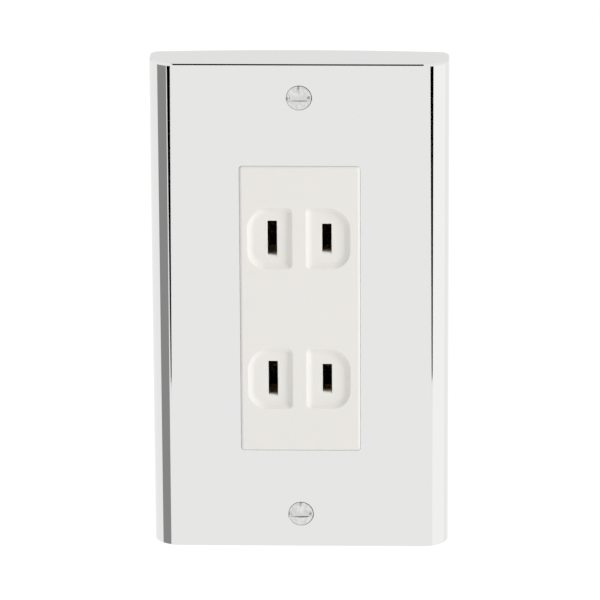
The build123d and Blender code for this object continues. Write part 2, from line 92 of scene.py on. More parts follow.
def add_camera():
    target = Vector((0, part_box("cover_plate")[0].y, 0))
    back = direction(CAMERA_YAW, CAMERA_ELEVATION)
    right = Vector((0, 0, 1)).cross(back).normalized()
    up = back.cross(right)
    roll = math.radians(CAMERA_ROLL)
    side = right * math.cos(roll) + up * math.sin(roll)
    top = up * math.cos(roll) - right * math.sin(roll)
    camera = bpy.data.objects.new("camera", bpy.data.cameras.new("camera"))
    bpy.context.scene.collection.objects.link(camera)
    turn = Matrix((side, top, back)).transposed().to_4x4()
    camera.matrix_world = Matrix.Translation(target + back * CAMERA_DISTANCE) @ turn
    camera.data.lens = CAMERA_LENS
    camera.data.sensor_width = 36
    camera.data.shift_x = CAMERA_SHIFT_X
    camera.data.shift_y = CAMERA_SHIFT_Y
    camera.data.clip_start = 0.01
    camera.data.clip_end = 50
    bpy.context.scene.camera = camera


# ---- Materials ----

def new_material(name):
    material = bpy.data.materials.new(name)
    material.use_nodes = True
    tree = material.node_tree
    return material, tree, tree.nodes["Principled BSDF"]


def noise(tree, scale, detail=3.0, stretch=(1, 1, 1)):
    """Noise in object space, with the scale in cells per millimetre."""
    place = tree.nodes.new("ShaderNodeTexCoord")
    mapping = tree.nodes.new("ShaderNodeMapping")
    mapping.inputs["Scale"].default_value = [scale * 1000 * s for s in stretch]
    texture = tree.nodes.new("ShaderNodeTexNoise")
    texture.inputs["Scale"].default_value = 1.0
    texture.inputs["Detail"].default_value = detail
    tree.links.new(place.outputs["Object"], mapping.inputs["Vector"])
    tree.links.new(mapping.outputs["Vector"], texture.inputs["Vector"])
    return texture.outputs["Fac"]


def spangle(tree, scale):
    """Patches of zinc crystals: one random level for each cell, in cells per millimetre."""
    place = tree.nodes.new("ShaderNodeTexCoord")
    texture = tree.nodes.new("ShaderNodeTexVoronoi")
    texture.inputs["Scale"].default_value = scale * 1000
    split = tree.nodes.new("ShaderNodeSeparateColor")
    tree.links.new(place.outputs["Object"], texture.inputs["Vector"])
    tree.links.new(texture.outputs["Color"], split.inputs["Color"])
    return split.outputs["Red"]


def ramp(tree, value, low, high, low_at=0.3, high_at=0.7):
    """A value or colour that goes from low to high as the input does."""
    node = tree.nodes.new("ShaderNodeValToRGB")
    for element, place, level in zip(node.color_ramp.elements, (low_at, high_at), (low, high)):
        element.position = place
        element.color = (*level, 1) if isinstance(level, tuple) else (level, level, level, 1)
    tree.links.new(value, node.inputs["Fac"])
    return node.outputs["Color"]


def vary(tree, shader, socket, value, *ramp_ends):
    """Drive one of the shader's inputs by a ramp over a value."""
    tree.links.new(ramp(tree, value, *ramp_ends), shader.inputs[socket])


def bump(tree, shader, height, strength, distance):
    node = tree.nodes.new("ShaderNodeBump")
    node.inputs["Strength"].default_value = strength
    node.inputs["Distance"].default_value = distance
    tree.links.new(height, node.inputs["Height"])
    tree.links.new(node.outputs["Normal"], shader.inputs["Normal"])


def chrome_material():
    material, tree, shader = new_material("chrome")
    shader.inputs["Base Color"].default_value = (0.79, 0.79, 0.785, 1)
    shader.inputs["Metallic"].default_value = 1
    vary(tree, shader, "Roughness", noise(tree, 0.05), 0.015, 0.03)
    bump(tree, shader, noise(tree, 0.03, 1.0), 0.02, 0.001)
    return material


def radius_from_screw(tree):
    """Distance in metres from the axis of the nearer cover screw."""
    place = tree.nodes.new("ShaderNodeTexCoord")
    split = tree.nodes.new("ShaderNodeSeparateXYZ")
    height = tree.nodes.new("ShaderNodeMath")
    height.operation = "ABSOLUTE"
    drop = tree.nodes.new("ShaderNodeMath")
    drop.operation = "SUBTRACT"
    drop.inputs[1].default_value = SCREW_Z * MM
    flat = tree.nodes.new("ShaderNodeCombineXYZ")
    length = tree.nodes.new("ShaderNodeVectorMath")
    length.operation = "LENGTH"
    tree.links.new(place.outputs["Object"], split.inputs["Vector"])
    tree.links.new(split.outputs["Z"], height.inputs[0])
    tree.links.new(height.outputs["Value"], drop.inputs[0])
    tree.links.new(split.outputs["X"], flat.inputs["X"])
    tree.links.new(drop.outputs["Value"], flat.inputs["Z"])
    tree.links.new(flat.outputs["Vector"], length.inputs["Vector"])
    return length.outputs["Value"]


def turned_chrome_material():
    """Plated screw heads: cloudy metal with fine turned rings."""
    material, tree, shader = new_material("turned_chrome")
    vary(tree, shader, "Base Color", noise(tree, 1.3, 4.0), (0.60, 0.60, 0.60), (0.80, 0.80, 0.795))
    shader.inputs["Metallic"].default_value = 1
    vary(tree, shader, "Roughness", noise(tree, 0.8), 0.16, 0.26)
    rings = tree.nodes.new("ShaderNodeTexNoise")
    rings.noise_dimensions = "1D"
    rings.inputs["Scale"].default_value = RINGS_PER_METRE
    rings.inputs["Detail"].default_value = 3.0
    tree.links.new(radius_from_screw(tree), rings.inputs["W"])
    bump(tree, shader, rings.outputs["Fac"], 0.3, 0.00003)
    return material


def milled_metal_material():
    """The floors of the driver slots, as the cutter left them."""
    material, tree, shader = new_material("milled_metal")
    vary(tree, shader, "Base Color", noise(tree, 2.5), (0.62, 0.62, 0.61), (0.74, 0.74, 0.73))
    shader.inputs["Metallic"].default_value = 1
    vary(tree, shader, "Roughness", noise(tree, 2.0), 0.12, 0.20)
    return material


def painted_gap_shade_material():
    """Painted shade: near-black metal on the countersink walls, standing in for the shadow in the gap between
    screw head and seat.
    """
    material, tree, shader = new_material("painted_gap_shade")
    # Near-black base colour: painted shade for the gap under the screw head, not a finish of the metal.
    vary(tree, shader, "Base Color", noise(tree, 2.0), (0.05, 0.05, 0.05), (0.12, 0.12, 0.12))
    shader.inputs["Metallic"].default_value = 1
    vary(tree, shader, "Roughness", noise(tree, 2.0), 0.4, 0.6)
    return material


def face_plastic_material():
    material, tree, shader = new_material("face_plastic")
    vary(tree, shader, "Base Color", noise(tree, 0.02), (0.812, 0.796, 0.757), (0.826, 0.810, 0.773))
    vary(tree, shader, "Roughness", noise(tree, 0.3), 0.34, 0.42)
    shader.inputs["Subsurface Weight"].default_value = 0.15
    shader.inputs["Subsurface Radius"].default_value = (1.0, 0.8, 0.6)
    shader.inputs["Subsurface Scale"].default_value = 0.0008
    bump(tree, shader, noise(tree, 3.0, 4.0), 0.15, 0.00003)
    return material


def casing_plastic_material():
    material, tree, shader = new_material("casing_plastic")
    vary(tree, shader, "Base Color", noise(tree, 0.12, 6.0), (0.058, 0.059, 0.061), (0.084, 0.086, 0.089))
    vary(tree, shader, "Roughness", noise(tree, 1.5), 0.36, 0.62)
    bump(tree, shader, noise(tree, 2.5, 5.0), 0.6, 0.00008)
    return material


def strap_steel_material():
    material, tree, shader = new_material("strap_steel")
    vary(tree, shader, "Base Color",
         spangle(tree, 0.35), (0.575, 0.58, 0.585), (0.65, 0.645, 0.635), 0.0, 1.0)
    shader.inputs["Metallic"].default_value = 1
    vary(tree, shader, "Roughness", noise(tree, 0.6), 0.24, 0.42)
    bump(tree, shader, noise(tree, 2.0, 2.0, (1, 1, 0.04)), 0.12, 0.00004)
    return material


def brass_material():
    material, tree, shader = new_material("contact_brass")
    vary(tree, shader, "Base Color", noise(tree, 0.2), (0.42, 0.24, 0.09), (0.66, 0.46, 0.20))
    shader.inputs["Metallic"].default_value = 1
    vary(tree, shader, "Roughness", noise(tree, 0.8), 0.2, 0.4)
    bump(tree, shader, noise(tree, 3.0, 2.0, (1, 0.05, 1)), 0.25, 0.00004)
    return material


def spring_steel_material():
    material, tree, shader = new_material("spring_steel")
    vary(tree, shader, "Base Color", noise(tree, 0.5), (0.44, 0.44, 0.47), (0.58, 0.57, 0.55))
    shader.inputs["Metallic"].default_value = 1
    bump(tree, shader, noise(tree, 3.0, 2.0, (1, 0.05, 1)), 0.2, 0.00003)
    vary(tree, shader, "Roughness", noise(tree, 0.8), 0.18, 0.3)
    return material


def nylon_material():
    material, tree, shader = new_material("collar_nylon")
    vary(tree, shader, "Base Color", noise(tree, 0.5), (0.66, 0.65, 0.59), (0.78, 0.77, 0.72))
    vary(tree, shader, "Roughness", noise(tree, 1.0), 0.35, 0.5)
    shader.inputs["Subsurface Weight"].default_value = 0.3
    shader.inputs["Subsurface Scale"].default_value = 0.001
    return material


def button_material():
    material, tree, shader = new_material("button_plastic")
    vary(tree, shader, "Base Color", noise(tree, 0.6, 5.0), (0.52, 0.12, 0.02), (0.70, 0.20, 0.045))
    vary(tree, shader, "Roughness", noise(tree, 1.0), 0.32, 0.5)
    bump(tree, shader, noise(tree, 3.0, 4.0), 0.4, 0.00005)
    return material


# ---- Mesh building, in millimetres ----

class Shape:
    """Collects loops of points in millimetres, joins them with strips and flat fills, and makes one object."""

    def __init__(self):
        self.points = []
        self.faces = []
        self.smooth = []
        self.kinds = []
        self.kind = 0

    def face(self, corners, smooth):
        """One face, with the material that self.kind names at the time."""
        self.faces.append(tuple(corners))
        self.smooth.append(smooth)
        self.kinds.append(self.kind)

    def loop(self, points):
        first = len(self.points)
        self.points += [tuple(p) for p in points]
        return list(range(first, len(self.points)))

    def strip(self, a, b, closed=True, smooth=True):
        count = len(a) if closed else len(a) - 1
        for i in range(count):
            j = (i + 1) % len(a)
            self.face((a[i], a[j], b[j], b[i]), smooth)

    def strips(self, loops, closed=True, smooth=True):
        for a, b in zip(loops, loops[1:]):
            self.strip(a, b, closed, smooth)

    def fill(self, outer, *holes):
        """Flat triangles between an outer loop and the holes in it."""
        rings = [outer, *holes]
        flat = [i for ring in rings for i in ring]
        for a, b, c in tessellate_polygon([[Vector(self.points[i]) for i in ring] for ring in rings]):
            self.face((flat[a], flat[b], flat[c]), False)

    def make(self, name, *materials):
        mesh = bpy.data.meshes.new(name)
        mesh.from_pydata([[c * MM for c in p] for p in self.points], [], self.faces)
        for material in materials:
            mesh.materials.append(material)
        for polygon, smooth, kind in zip(mesh.polygons, self.smooth, self.kinds):
            polygon.use_smooth = smooth
            polygon.material_index = kind
        work = bmesh.new()
        work.from_mesh(mesh)
        bmesh.ops.remove_doubles(work, verts=work.verts, dist=1e-7)
        bmesh.ops.recalc_face_normals(work, faces=work.faces)
        work.to_mesh(mesh)
        work.free()
        piece = bpy.data.objects.new(name, mesh)
        bpy.context.scene.collection.objects.link(piece)
        return piece


def arc(centre, radius, start, end, steps):
    """Points on an arc, with angles in degrees from the first axis."""
    angles = [math.radians(start + (end - start) * i / steps) for i in range(steps + 1)]
    return [(centre[0] + radius * math.cos(a), centre[1] + radius * math.sin(a)) for a in angles]


def rounded_rectangle(low, high, radii, steps=8):
    """Corner points of X and Z, anticlockwise from the lower right, with a radius for each corner."""
    (x0, z0), (x1, z1) = low, high
    corners = [(x1, z0, -1, 1, 270), (x1, z1, -1, -1, 0), (x0, z1, 1, -1, 90), (x0, z0, 1, 1, 180)]
    points = []
    for (x, z, step_x, step_z, start), radius in zip(corners, radii):
        points += arc((x + step_x * radius, z + step_z * radius), radius, start, start + 90, steps)
    return points


def centred_rectangle(width, height, radius, grow=0.0):
    half_x, half_z = width / 2 + grow, height / 2 + grow
    return rounded_rectangle((-half_x, -half_z), (half_x, half_z), [max(radius + grow, 0.02)] * 4)


def circle(x, z, radius, steps=64):
    return arc((x, z), radius, 0, 360 * (steps - 1) / steps, steps - 1)


def at_y(points, y):
    return [(x, y, z) for x, z in points]


def quarter_turn(steps):
    """Angles from 0 to 90 degrees, with one more close to each end to keep the shading true there."""
    return [0, 0.3, *[90 * i / steps for i in range(1, steps)], 89.7, 90]


def quarter(radius, steps):
    """Pairs of (how far in, how far along) round a quarter circle, from a wall to a face."""
    turns = [math.radians(t) for t in quarter_turn(steps)]
    return [(radius * (1 - math.cos(t)), radius * math.sin(t)) for t in turns]


# ---- Cover plate ----

PLATE_LOW, PLATE_HIGH = (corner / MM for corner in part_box("cover_plate"))
PLATE_HALF_WIDTH = PLATE_HIGH.x
PLATE_HALF_HEIGHT = PLATE_HIGH.z
PLATE_FRONT = PLATE_LOW.y
SHEET = 1.2
SHOULDER_RADIUS = 6.0
RIM_BOW = 1.5
RIM_CORNER_RADIUS = 2.2
# The edge is rounder at the top end (1) than at the foot (-1).
END_RADII = {1: 0.5, -1: 0.15}
WINDOW = (28.3, 70.8, 0.7)
WINDOW_CENTRE = (0.1, -0.2)
WINDOW_EDGE_RADIUS = 0.08
SEAT_RADIUS = 2.96
SEAT_EDGE_RADIUS = 0.12
SEAT_THROAT_RADIUS = 1.9
SEAT_OFFSET = (0.04, 0.035)
SCREW_Z = (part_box("cover_screw_upper")[0].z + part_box("cover_screw_upper")[1].z) / 2 / MM


def rim_corner():
    """Centre of the rounded rear corner, and the angle at which it meets the bowed rim."""
    bow_radius = (PLATE_HALF_WIDTH**2 + RIM_BOW**2) / (2 * RIM_BOW)
    x = PLATE_HALF_WIDTH - RIM_CORNER_RADIUS
    reach = math.sqrt((bow_radius - RIM_CORNER_RADIUS) ** 2 - x**2)
    return (x, reach - bow_radius), math.degrees(math.atan2(reach, x)), bow_radius


def shoulder(inset, steps):
    """Points of X and Y round the right shoulder, from the side to the flat front."""
    centre = (PLATE_HALF_WIDTH - SHOULDER_RADIUS, PLATE_FRONT + SHOULDER_RADIUS)
    radius = SHOULDER_RADIUS - inset
    turns = [math.radians(t) for t in quarter_turn(steps)]
    return [(centre[0] + radius * math.cos(t), centre[1] - radius * math.sin(t)) for t in turns]


def plate_sections():
    """The right half of the outer section from the rim to the flat, the inner one, and the rim's outline."""
    centre, rim_angle, bow_radius = rim_corner()
    wall_angle = math.degrees(math.acos((RIM_CORNER_RADIUS - SHEET) / RIM_CORNER_RADIUS))
    outer = arc(centre, RIM_CORNER_RADIUS, wall_angle, 0, 8) + shoulder(0, 45)
    inner = [outer[0]] + shoulder(SHEET, 16)
    rim = arc(centre, RIM_CORNER_RADIUS, wall_angle, rim_angle, 3)
    rim += arc((0, -bow_radius), bow_radius, rim_angle, 90, 16)[1:]
    return outer, inner, rim


def mirrored(points):
    """The right half of a section in plan, then its mirror image on the left."""
    return points + [(-x, y) for x, y in reversed(points)]


def inset_outline(points, distance):
    """A closed outline in plan, moved inwards along the bisector at each point."""
    moved = []
    for i, (x, y) in enumerate(points):
        before, after = Vector(points[i - 1]), Vector(points[(i + 1) % len(points)])
        here = Vector((x, y))
        way = ((here - before).normalized() + (after - here).normalized()).normalized()
        inward = Vector((way.y, -way.x))
        moved.append(tuple(here + inward * distance))
    return moved


def about_window(size, grow):
    """A rounded rectangle about the window's centre, which is a little off the plate's own."""
    return [(x + WINDOW_CENTRE[0], z + WINDOW_CENTRE[1]) for x, z in centred_rectangle(*size, grow)]


def window_loops(shape):
    """The window's rounded edge, from the front of the sheet to its back."""
    loops = [shape.loop(at_y(about_window(WINDOW, WINDOW_EDGE_RADIUS - along), PLATE_FRONT + inwards))
             for inwards, along in quarter(WINDOW_EDGE_RADIUS, 5)]
    loops.append(shape.loop(at_y(about_window(WINDOW, 0), PLATE_FRONT + SHEET)))
    shape.strips(loops)
    return loops[0], loops[-1]


def seat_loops(shape, side):
    """A countersunk screw seat through the sheet, a little off its screw, with a softened rim."""
    x, z = SEAT_OFFSET[0], side * SCREW_Z + SEAT_OFFSET[1]
    profile = [
        (SEAT_RADIUS + SEAT_EDGE_RADIUS, 0),
        (SEAT_RADIUS + SEAT_EDGE_RADIUS * 0.35, SEAT_EDGE_RADIUS * 0.2),
        (SEAT_RADIUS - SEAT_EDGE_RADIUS, SEAT_EDGE_RADIUS),
        (SEAT_THROAT_RADIUS, SEAT_RADIUS - SEAT_THROAT_RADIUS),
        (SEAT_THROAT_RADIUS, SHEET),
    ]
    loops = [shape.loop(at_y(circle(x, z, radius), PLATE_FRONT + depth)) for radius, depth in profile]
    shape.strip(loops[0], loops[1])
    # The countersink walls take material 1, the near-black painted gap shade.
    shape.kind = 1
    shape.strips(loops[1:])
    shape.kind = 0
    return loops[0], loops[-1]


def make_plate(*materials):
    shape = Shape()
    outer, inner, rim = plate_sections()
    inner_z = PLATE_HALF_HEIGHT - SHEET
    body, rims, flats, inside = {}, {}, {}, {}
    outline = mirrored(outer)
    rim_back = [(-x, y) for x, y in rim[1:]] + [(x, y) for x, y in reversed(rim[1:-1])]
    edge = len(outer) - 1
    for end in (1, -1):
        whole = outline + rim_back
        low = shape.loop([(x, y, end * inner_z) for x, y in whole])
        rings = [low]
        for inwards, along in reversed(quarter(END_RADII[end], 8)):
            z = end * (PLATE_HALF_HEIGHT - inwards)
            rings.append(shape.loop([(x, y, z) for x, y in inset_outline(whole, END_RADII[end] - along)]))
        shape.strips(rings[1:])
        shape.fill(rings[-1])
        edge_ring = rings[1]
        body[end] = low
        flats[end] = (low[edge], low[edge + 1], edge_ring[edge], edge_ring[edge + 1])
        round_part = low[edge + 1:] + low[:edge + 1]
        round_edge = edge_ring[edge + 1:] + edge_ring[:edge + 1]
        shape.strip(round_part, round_edge, closed=False)
        rims[end] = low[len(outline):]
        inner_section = [(x, y, end * inner_z) for x, y in mirrored(inner)[1:-1]]
        inside[end] = [low[0], *shape.loop(inner_section), low[len(outline) - 1]]
        shape.fill(inside[end] + rims[end])
    right = slice(0, edge + 1)
    left = slice(edge + 1, len(outline))
    for half in (right, left):
        shape.strip(body[1][half], body[-1][half], closed=False)
    inner_edge = len(inner) - 1
    for half in (slice(0, inner_edge + 1), slice(inner_edge + 1, 2 * len(inner))):
        shape.strip(inside[1][half], inside[-1][half], closed=False)
    holes = [window_loops(shape)]
    holes += [seat_loops(shape, side) for side in (1, -1)]
    top, bottom = flats[1], flats[-1]
    front = [top[3], top[1], bottom[1], bottom[3], bottom[2], bottom[0], top[0], top[2]]
    shape.fill(front, *[hole[0] for hole in holes])
    inner_front = [inside[e][inner_edge + s] for e, s in ((1, 1), (-1, 1), (-1, 0), (1, 0))]
    shape.fill(inner_front, *[hole[1] for hole in holes])
    return shape.make("cover_plate_skin", *materials)


# ---- Face of the outlet ----

HOUSING_LOW, HOUSING_HIGH = (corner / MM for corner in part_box("front_housing"))
FACE_FRONT = HOUSING_LOW.y
FACE_BACK = HOUSING_HIGH.y
FACE = (28.27, 70.77, 0.7)
FACE_EDGE_RADIUS = 0.6
FRONT_WALL = 3.4
OUTLET_Z = 17.45
POLE_X = 6.4
SLOT_WIDTH = 2.2
SLOT_HEIGHTS = {-1: 8.5, 1: 7.1}
SLOT_DROP = 0.1
SLOT_EDGE_RADIUS = 0.12
SLOT_LIP_RADIUS = 0.6
RECESS_SPANS = {-1: (1.6, 12.4), 1: (1.4, 12.0)}
RECESS_HEIGHT = 15.4
RECESS_DEPTH = 0.9
RECESS_WALL = 1.65
RECESS_RIM_SHARE = 0.15
RECESS_TOP_RADIUS = 5.5
RECESS_FOOT_RADIUS = 4.6
RECESS_INNER_RADIUS = 1.3
CHAMBER = (7.0, 10.0)
FLANGE = (HOUSING_HIGH.x * 2, HOUSING_HIGH.z * 2, 3.0)
FLANGE_FRONT = FACE_BACK - 3.0
FLANGE_EDGE_RADIUS = 0.4


def recess_outline(hand, side, share):
    """The dish's outline, from its rim (share 0) to the edge of its floor (share 1)."""
    inset = share * RECESS_WALL
    near, far = RECESS_SPANS[hand]
    low_z = side * OUTLET_Z - RECESS_HEIGHT / 2 + inset
    high_z = side * OUTLET_Z + RECESS_HEIGHT / 2 - inset
    foot, top = RECESS_FOOT_RADIUS - inset, RECESS_TOP_RADIUS - inset
    inner = max(RECESS_INNER_RADIUS - inset * 0.6, 0.15)
    near, far = near + inset, far - inset
    if hand > 0:
        return rounded_rectangle((near, low_z), (far, high_z), (foot, top, inner, inner), 14)
    return rounded_rectangle((-far, low_z), (-near, high_z), (inner, inner, top, foot), 14)


def recess_depth(share):
    """The dish's wall: a tight round at the rim, then steep, then easing onto the floor."""
    if share < RECESS_RIM_SHARE:
        return RECESS_DEPTH * share**2 / RECESS_RIM_SHARE
    rest = 1 - RECESS_RIM_SHARE
    return RECESS_DEPTH * (RECESS_RIM_SHARE + (rest**2 - (1 - share) ** 2) / rest)


def recess_loops(shape, hand, side):
    """A dish, and in its floor a blade slot that opens into a contact chamber."""
    shares = [0, 0.01, 0.03, 0.06, 0.09, 0.12, 0.15, 0.2, 0.28, 0.37, 0.47, 0.58, 0.7, 0.82, 0.92, 0.98, 1]
    loops = [shape.loop(at_y(recess_outline(hand, side, share), FACE_FRONT + recess_depth(share)))
             for share in shares]
    shape.strips(loops)
    floor_y = FACE_FRONT + RECESS_DEPTH
    centre_x, centre_z = hand * POLE_X, side * OUTLET_Z - SLOT_DROP

    def slot_outline(lip_share, edge_share, radius, width=SLOT_WIDTH, height=SLOT_HEIGHTS[hand]):
        side_grow, foot_grow = SLOT_EDGE_RADIUS * edge_share, SLOT_LIP_RADIUS * lip_share
        low = (centre_x - width / 2 - side_grow, centre_z - height / 2 - foot_grow)
        high = (centre_x + width / 2 + side_grow, centre_z + height / 2 + side_grow)
        return rounded_rectangle(low, high, [radius] * 4, 3)

    slot = []
    for inwards, along in quarter(1, 6):
        outline = slot_outline(1 - along, 1 - along, 0.12 + 0.1 * (1 - along))
        depths = [SLOT_LIP_RADIUS if z < centre_z else SLOT_EDGE_RADIUS for _, z in outline]
        slot.append(shape.loop([(x, floor_y + inwards * depth, z) for (x, z), depth in zip(outline, depths)]))
    chamber_y = FACE_FRONT + FRONT_WALL
    slot.append(shape.loop(at_y(slot_outline(0, 0, 0.12), chamber_y)))
    shape.strips(slot)
    chamber = [shape.loop(at_y(slot_outline(0, 0, 0.4, *CHAMBER), y)) for y in (chamber_y, FACE_BACK)]
    shape.strip(slot[-1], chamber[0], smooth=False)
    shape.strip(*chamber)
    shape.fill(loops[-1], slot[0])
    return loops[0], chamber[1]


def make_face(material):
    shape = Shape()
    walls = [shape.loop(at_y(centred_rectangle(*FLANGE), FACE_BACK))]
    for inwards, along in quarter(FLANGE_EDGE_RADIUS, 4):
        y = FLANGE_FRONT + FLANGE_EDGE_RADIUS - along
        walls.append(shape.loop(at_y(centred_rectangle(*FLANGE, -inwards), y)))
    walls.append(shape.loop(at_y(about_window(FACE, 0), FLANGE_FRONT)))
    for inwards, along in quarter(FACE_EDGE_RADIUS, 6):
        y = FACE_FRONT + FACE_EDGE_RADIUS - along
        walls.append(shape.loop(at_y(about_window(FACE, -inwards), y)))
    shape.strips(walls)
    recesses = [recess_loops(shape, hand, side) for hand in (-1, 1) for side in (1, -1)]
    shape.fill(walls[-1], *[r[0] for r in recesses])
    shape.fill(walls[0], *[r[1] for r in recesses])
    return shape.make("outlet_face", material)


# ---- Cover screws ----

HEAD_RADIUS = 2.9
SHANK_RADIUS = 1.75
DOME_HEIGHT = 0.9
DRIVER_SLOT = (1.2, 0.95)
SLOT_HALF_LENGTH = 2.95
SLOT_END_RADIUS = 1.15
SLOT_FLOOR_SLOPE = 0.035
RINGS_PER_METRE = 5000
THREAD_PITCH = 0.6
THREAD_DEPTH = 0.28
THREAD_START_GAP = 0.3
THREAD_FADE_LENGTH = 0.5
THREAD_RINGS_PER_TURN = 8
SCREW_SEGMENTS = 96
DOME_STEPS = 24
DOME_REACH = 0.985
HEAD_LIP = 0.03
SLOT_BEVEL = 0.025
SLOT_BEVEL_ANGLE = 50


def screw_profile():
    """Points of radius and Y, from the middle of the dome to the thread's start."""
    dome_radius = (HEAD_RADIUS**2 + DOME_HEIGHT**2) / (2 * DOME_HEIGHT)
    edge = math.degrees(math.asin(HEAD_RADIUS / dome_radius))
    top = PLATE_FRONT - DOME_HEIGHT
    profile = []
    for step in range(1, DOME_STEPS + 1):
        angle = math.radians(edge * DOME_REACH * step / DOME_STEPS)
        profile.append((dome_radius * math.sin(angle), top + dome_radius * (1 - math.cos(angle))))
    profile.append((HEAD_RADIUS, PLATE_FRONT + 0.02))
    profile.append((HEAD_RADIUS - HEAD_LIP, PLATE_FRONT + 0.08))
    profile.append((SHANK_RADIUS, PLATE_FRONT + HEAD_RADIUS - SHANK_RADIUS))
    return top, profile


def make_screw(name, row, side, head_material, slot_material):
    shape = Shape()
    top, profile = screw_profile()
    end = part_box(f"cover_screw_{row}")[1].y / MM
    z = side * SCREW_Z
    angles = [2 * math.pi * i / SCREW_SEGMENTS for i in range(SCREW_SEGMENTS)]

    def ring(radius, y):
        return [(radius(a) * math.cos(a), y, z + radius(a) * math.sin(a)) for a in angles]

    loops = [shape.loop(ring(lambda a, r=r: r, y)) for r, y in profile]
    start = profile[-1][1] + THREAD_START_GAP
    rows = round((end - start) / THREAD_PITCH * THREAD_RINGS_PER_TURN)
    for row_number in range(rows + 1):
        y = start + (end - start) * row_number / rows
        fade = min(1, (end - y) / THREAD_FADE_LENGTH)

        def thread(a, y=y, fade=fade):
            phase = (y / THREAD_PITCH + a / (2 * math.pi)) % 1
            ridge = 1 - abs(2 * phase - 1)
            return SHANK_RADIUS - THREAD_DEPTH * (1 - ridge * fade)

        loops.append(shape.loop(ring(thread, y)))
    shape.strips(loops)
    centre = shape.loop([(0, top, z)])[0]
    first = loops[0]
    for i, point in enumerate(first):
        shape.face((centre, point, first[(i + 1) % len(first)]), True)
    shape.fill(loops[-1])
    screw = shape.make(name, head_material)
    cut_driver_slot(screw, top, z, slot_material)
    return screw


def cut_driver_slot(screw, top, z, material):
    """A slot across the head, whose floor curves up to the surface at both ends."""
    width, depth = DRIVER_SLOT
    end_x, end_y = SLOT_HALF_LENGTH - SLOT_END_RADIUS, top + depth - SLOT_END_RADIUS
    profile = [(SLOT_HALF_LENGTH, top - 1), *arc((end_x, end_y), SLOT_END_RADIUS, 0, 90, 10)]
    profile += [(-x, y) for x, y in reversed(profile)]
    cutter_shape = Shape()
    sides = [cutter_shape.loop([(x, y + SLOT_FLOOR_SLOPE * half, z + half) for x, y in profile])
             for half in (-width / 2, width / 2)]
    cutter_shape.strip(*sides)
    for side in sides:
        cutter_shape.fill(side)
    cutter = cutter_shape.make("slot_cutter", material)
    cut = screw.modifiers.new("slot", "BOOLEAN")
    cut.object = cutter
    cut.solver = "EXACT"
    cut.material_mode = "TRANSFER"
    soften = screw.modifiers.new("soften", "BEVEL")
    soften.width = SLOT_BEVEL * MM
    soften.segments = 3
    soften.limit_method = "ANGLE"
    soften.angle_limit = math.radians(SLOT_BEVEL_ANGLE)
    graph = bpy.context.evaluated_depsgraph_get()
    final = bpy.data.meshes.new_from_object(screw.evaluated_get(graph))
    screw.modifiers.clear()
    screw.data = final
    bpy.data.objects.remove(cutter)


# ---- Lock springs ----

SPRING_THICKNESS = 0.35
SPRING_LEG_X = 12.7
SPRING_LEG_START_Y = 8.0
SPRING_TIP = (5.52, 12.64)
SPRING_ARM_ANGLE = 30
SPRING_BEND_RADIUS = 0.8
SPRING_BEND_START_X = 12.4
BUTTON_NOSE_X = 9.3
SPRING_BEND_STEPS = 16
SPRING_ARM_STEPS = 24


def lock_spring_path():
    """Points of X and Y and the way along, up the leg, round the bend and out along the arm."""
    tip_x, tip_y = SPRING_TIP
    corner_y = tip_y + (SPRING_LEG_X - tip_x) * math.tan(math.radians(SPRING_ARM_ANGLE))
    cut = SPRING_BEND_RADIUS * math.tan(math.radians(90 + SPRING_ARM_ANGLE) / 2)
    centre = (SPRING_LEG_X - SPRING_BEND_RADIUS, corner_y - cut)
    sweep = 90 + SPRING_ARM_ANGLE
    bend = arc(centre, SPRING_BEND_RADIUS, 0, sweep, SPRING_BEND_STEPS)
    path = [(SPRING_LEG_X, SPRING_LEG_START_Y, 90)]
    path += [(x, y, 90 + sweep * i / SPRING_BEND_STEPS) for i, (x, y) in enumerate(bend)]
    start_x, start_y = bend[-1]
    heading = 180 + SPRING_ARM_ANGLE
    for step in range(1, SPRING_ARM_STEPS + 1):
        share = step / SPRING_ARM_STEPS
        path.append((start_x + (tip_x - start_x) * share, start_y + (tip_y - start_y) * share, heading))
    return path


def make_lock_spring(name, material):
    """The leaf of one CAD spring, with many points along its path, and the points on X where its bend starts
    and where the button's nose sits.
    """
    low, high = (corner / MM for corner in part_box(name))
    hand = 1 if low.x + high.x > 0 else -1
    shape = Shape()
    loops = []
    for x, y, heading in lock_spring_path():
        turn = math.radians(heading)
        across = (math.sin(turn) * SPRING_THICKNESS / 2, -math.cos(turn) * SPRING_THICKNESS / 2)
        outer, inner = (x + across[0], y + across[1]), (x - across[0], y - across[1])
        corners = [(*outer, low.z), (*outer, high.z), (*inner, high.z), (*inner, low.z)]
        loops.append(shape.loop([(hand * px, py, pz) for px, py, pz in corners]))
    shape.strips(loops, smooth=False)
    shape.fill(loops[0])
    shape.fill(loops[-1])
    leaf = shape.make(f"{name}_leaf", material)
    start, end = (Vector((hand * x * MM, 0, 0)) for x in (SPRING_BEND_START_X, BUTTON_NOSE_X))
    return leaf, start, end


# ---- Stage ----

WORLD_DIFFUSE = 0.55
KEY_POWER = 9.9
# The key light's azimuth, elevation, distance and size.
KEY_PLACE = (64, 26, 1.4, 0.5)
FLOOR_DROP = 1.0
FLOOR_REACH = 30
FLOOR_GREY = 0.9
FLOOR_GLOW = 0.5
PANEL_DISTANCE = 60.0
PANEL_STEPS = 12

# Panels of even light that only reflections see. Each has a top edge and a foot, given as elevation, left
# azimuth and right azimuth, and then its light.
PANELS = {
    "dark_left": ((-12, -35, -5), (-20, -35, -30), 0.0),
    "grey_left": ((-12, -85, -35), (-26, -85, -45), 0.3),
    "dark_right": ((-12, 15, 45), (-20, 40, 45), 0.0),
    "white_right": ((-12, 45, 115), (-26, 45, 115), 1.1),
}

# These two hang over the top of the plate. Their edges are given in the angles of overhead(): along, left side
# and right side.
OVERHEAD_PANELS = {
    "dark_bar": ((120, -7, 0), (30, -7, 0), 0.0),
    "back_wall": ((175, -75, 75), (150, -75, 75), 0.9),
}


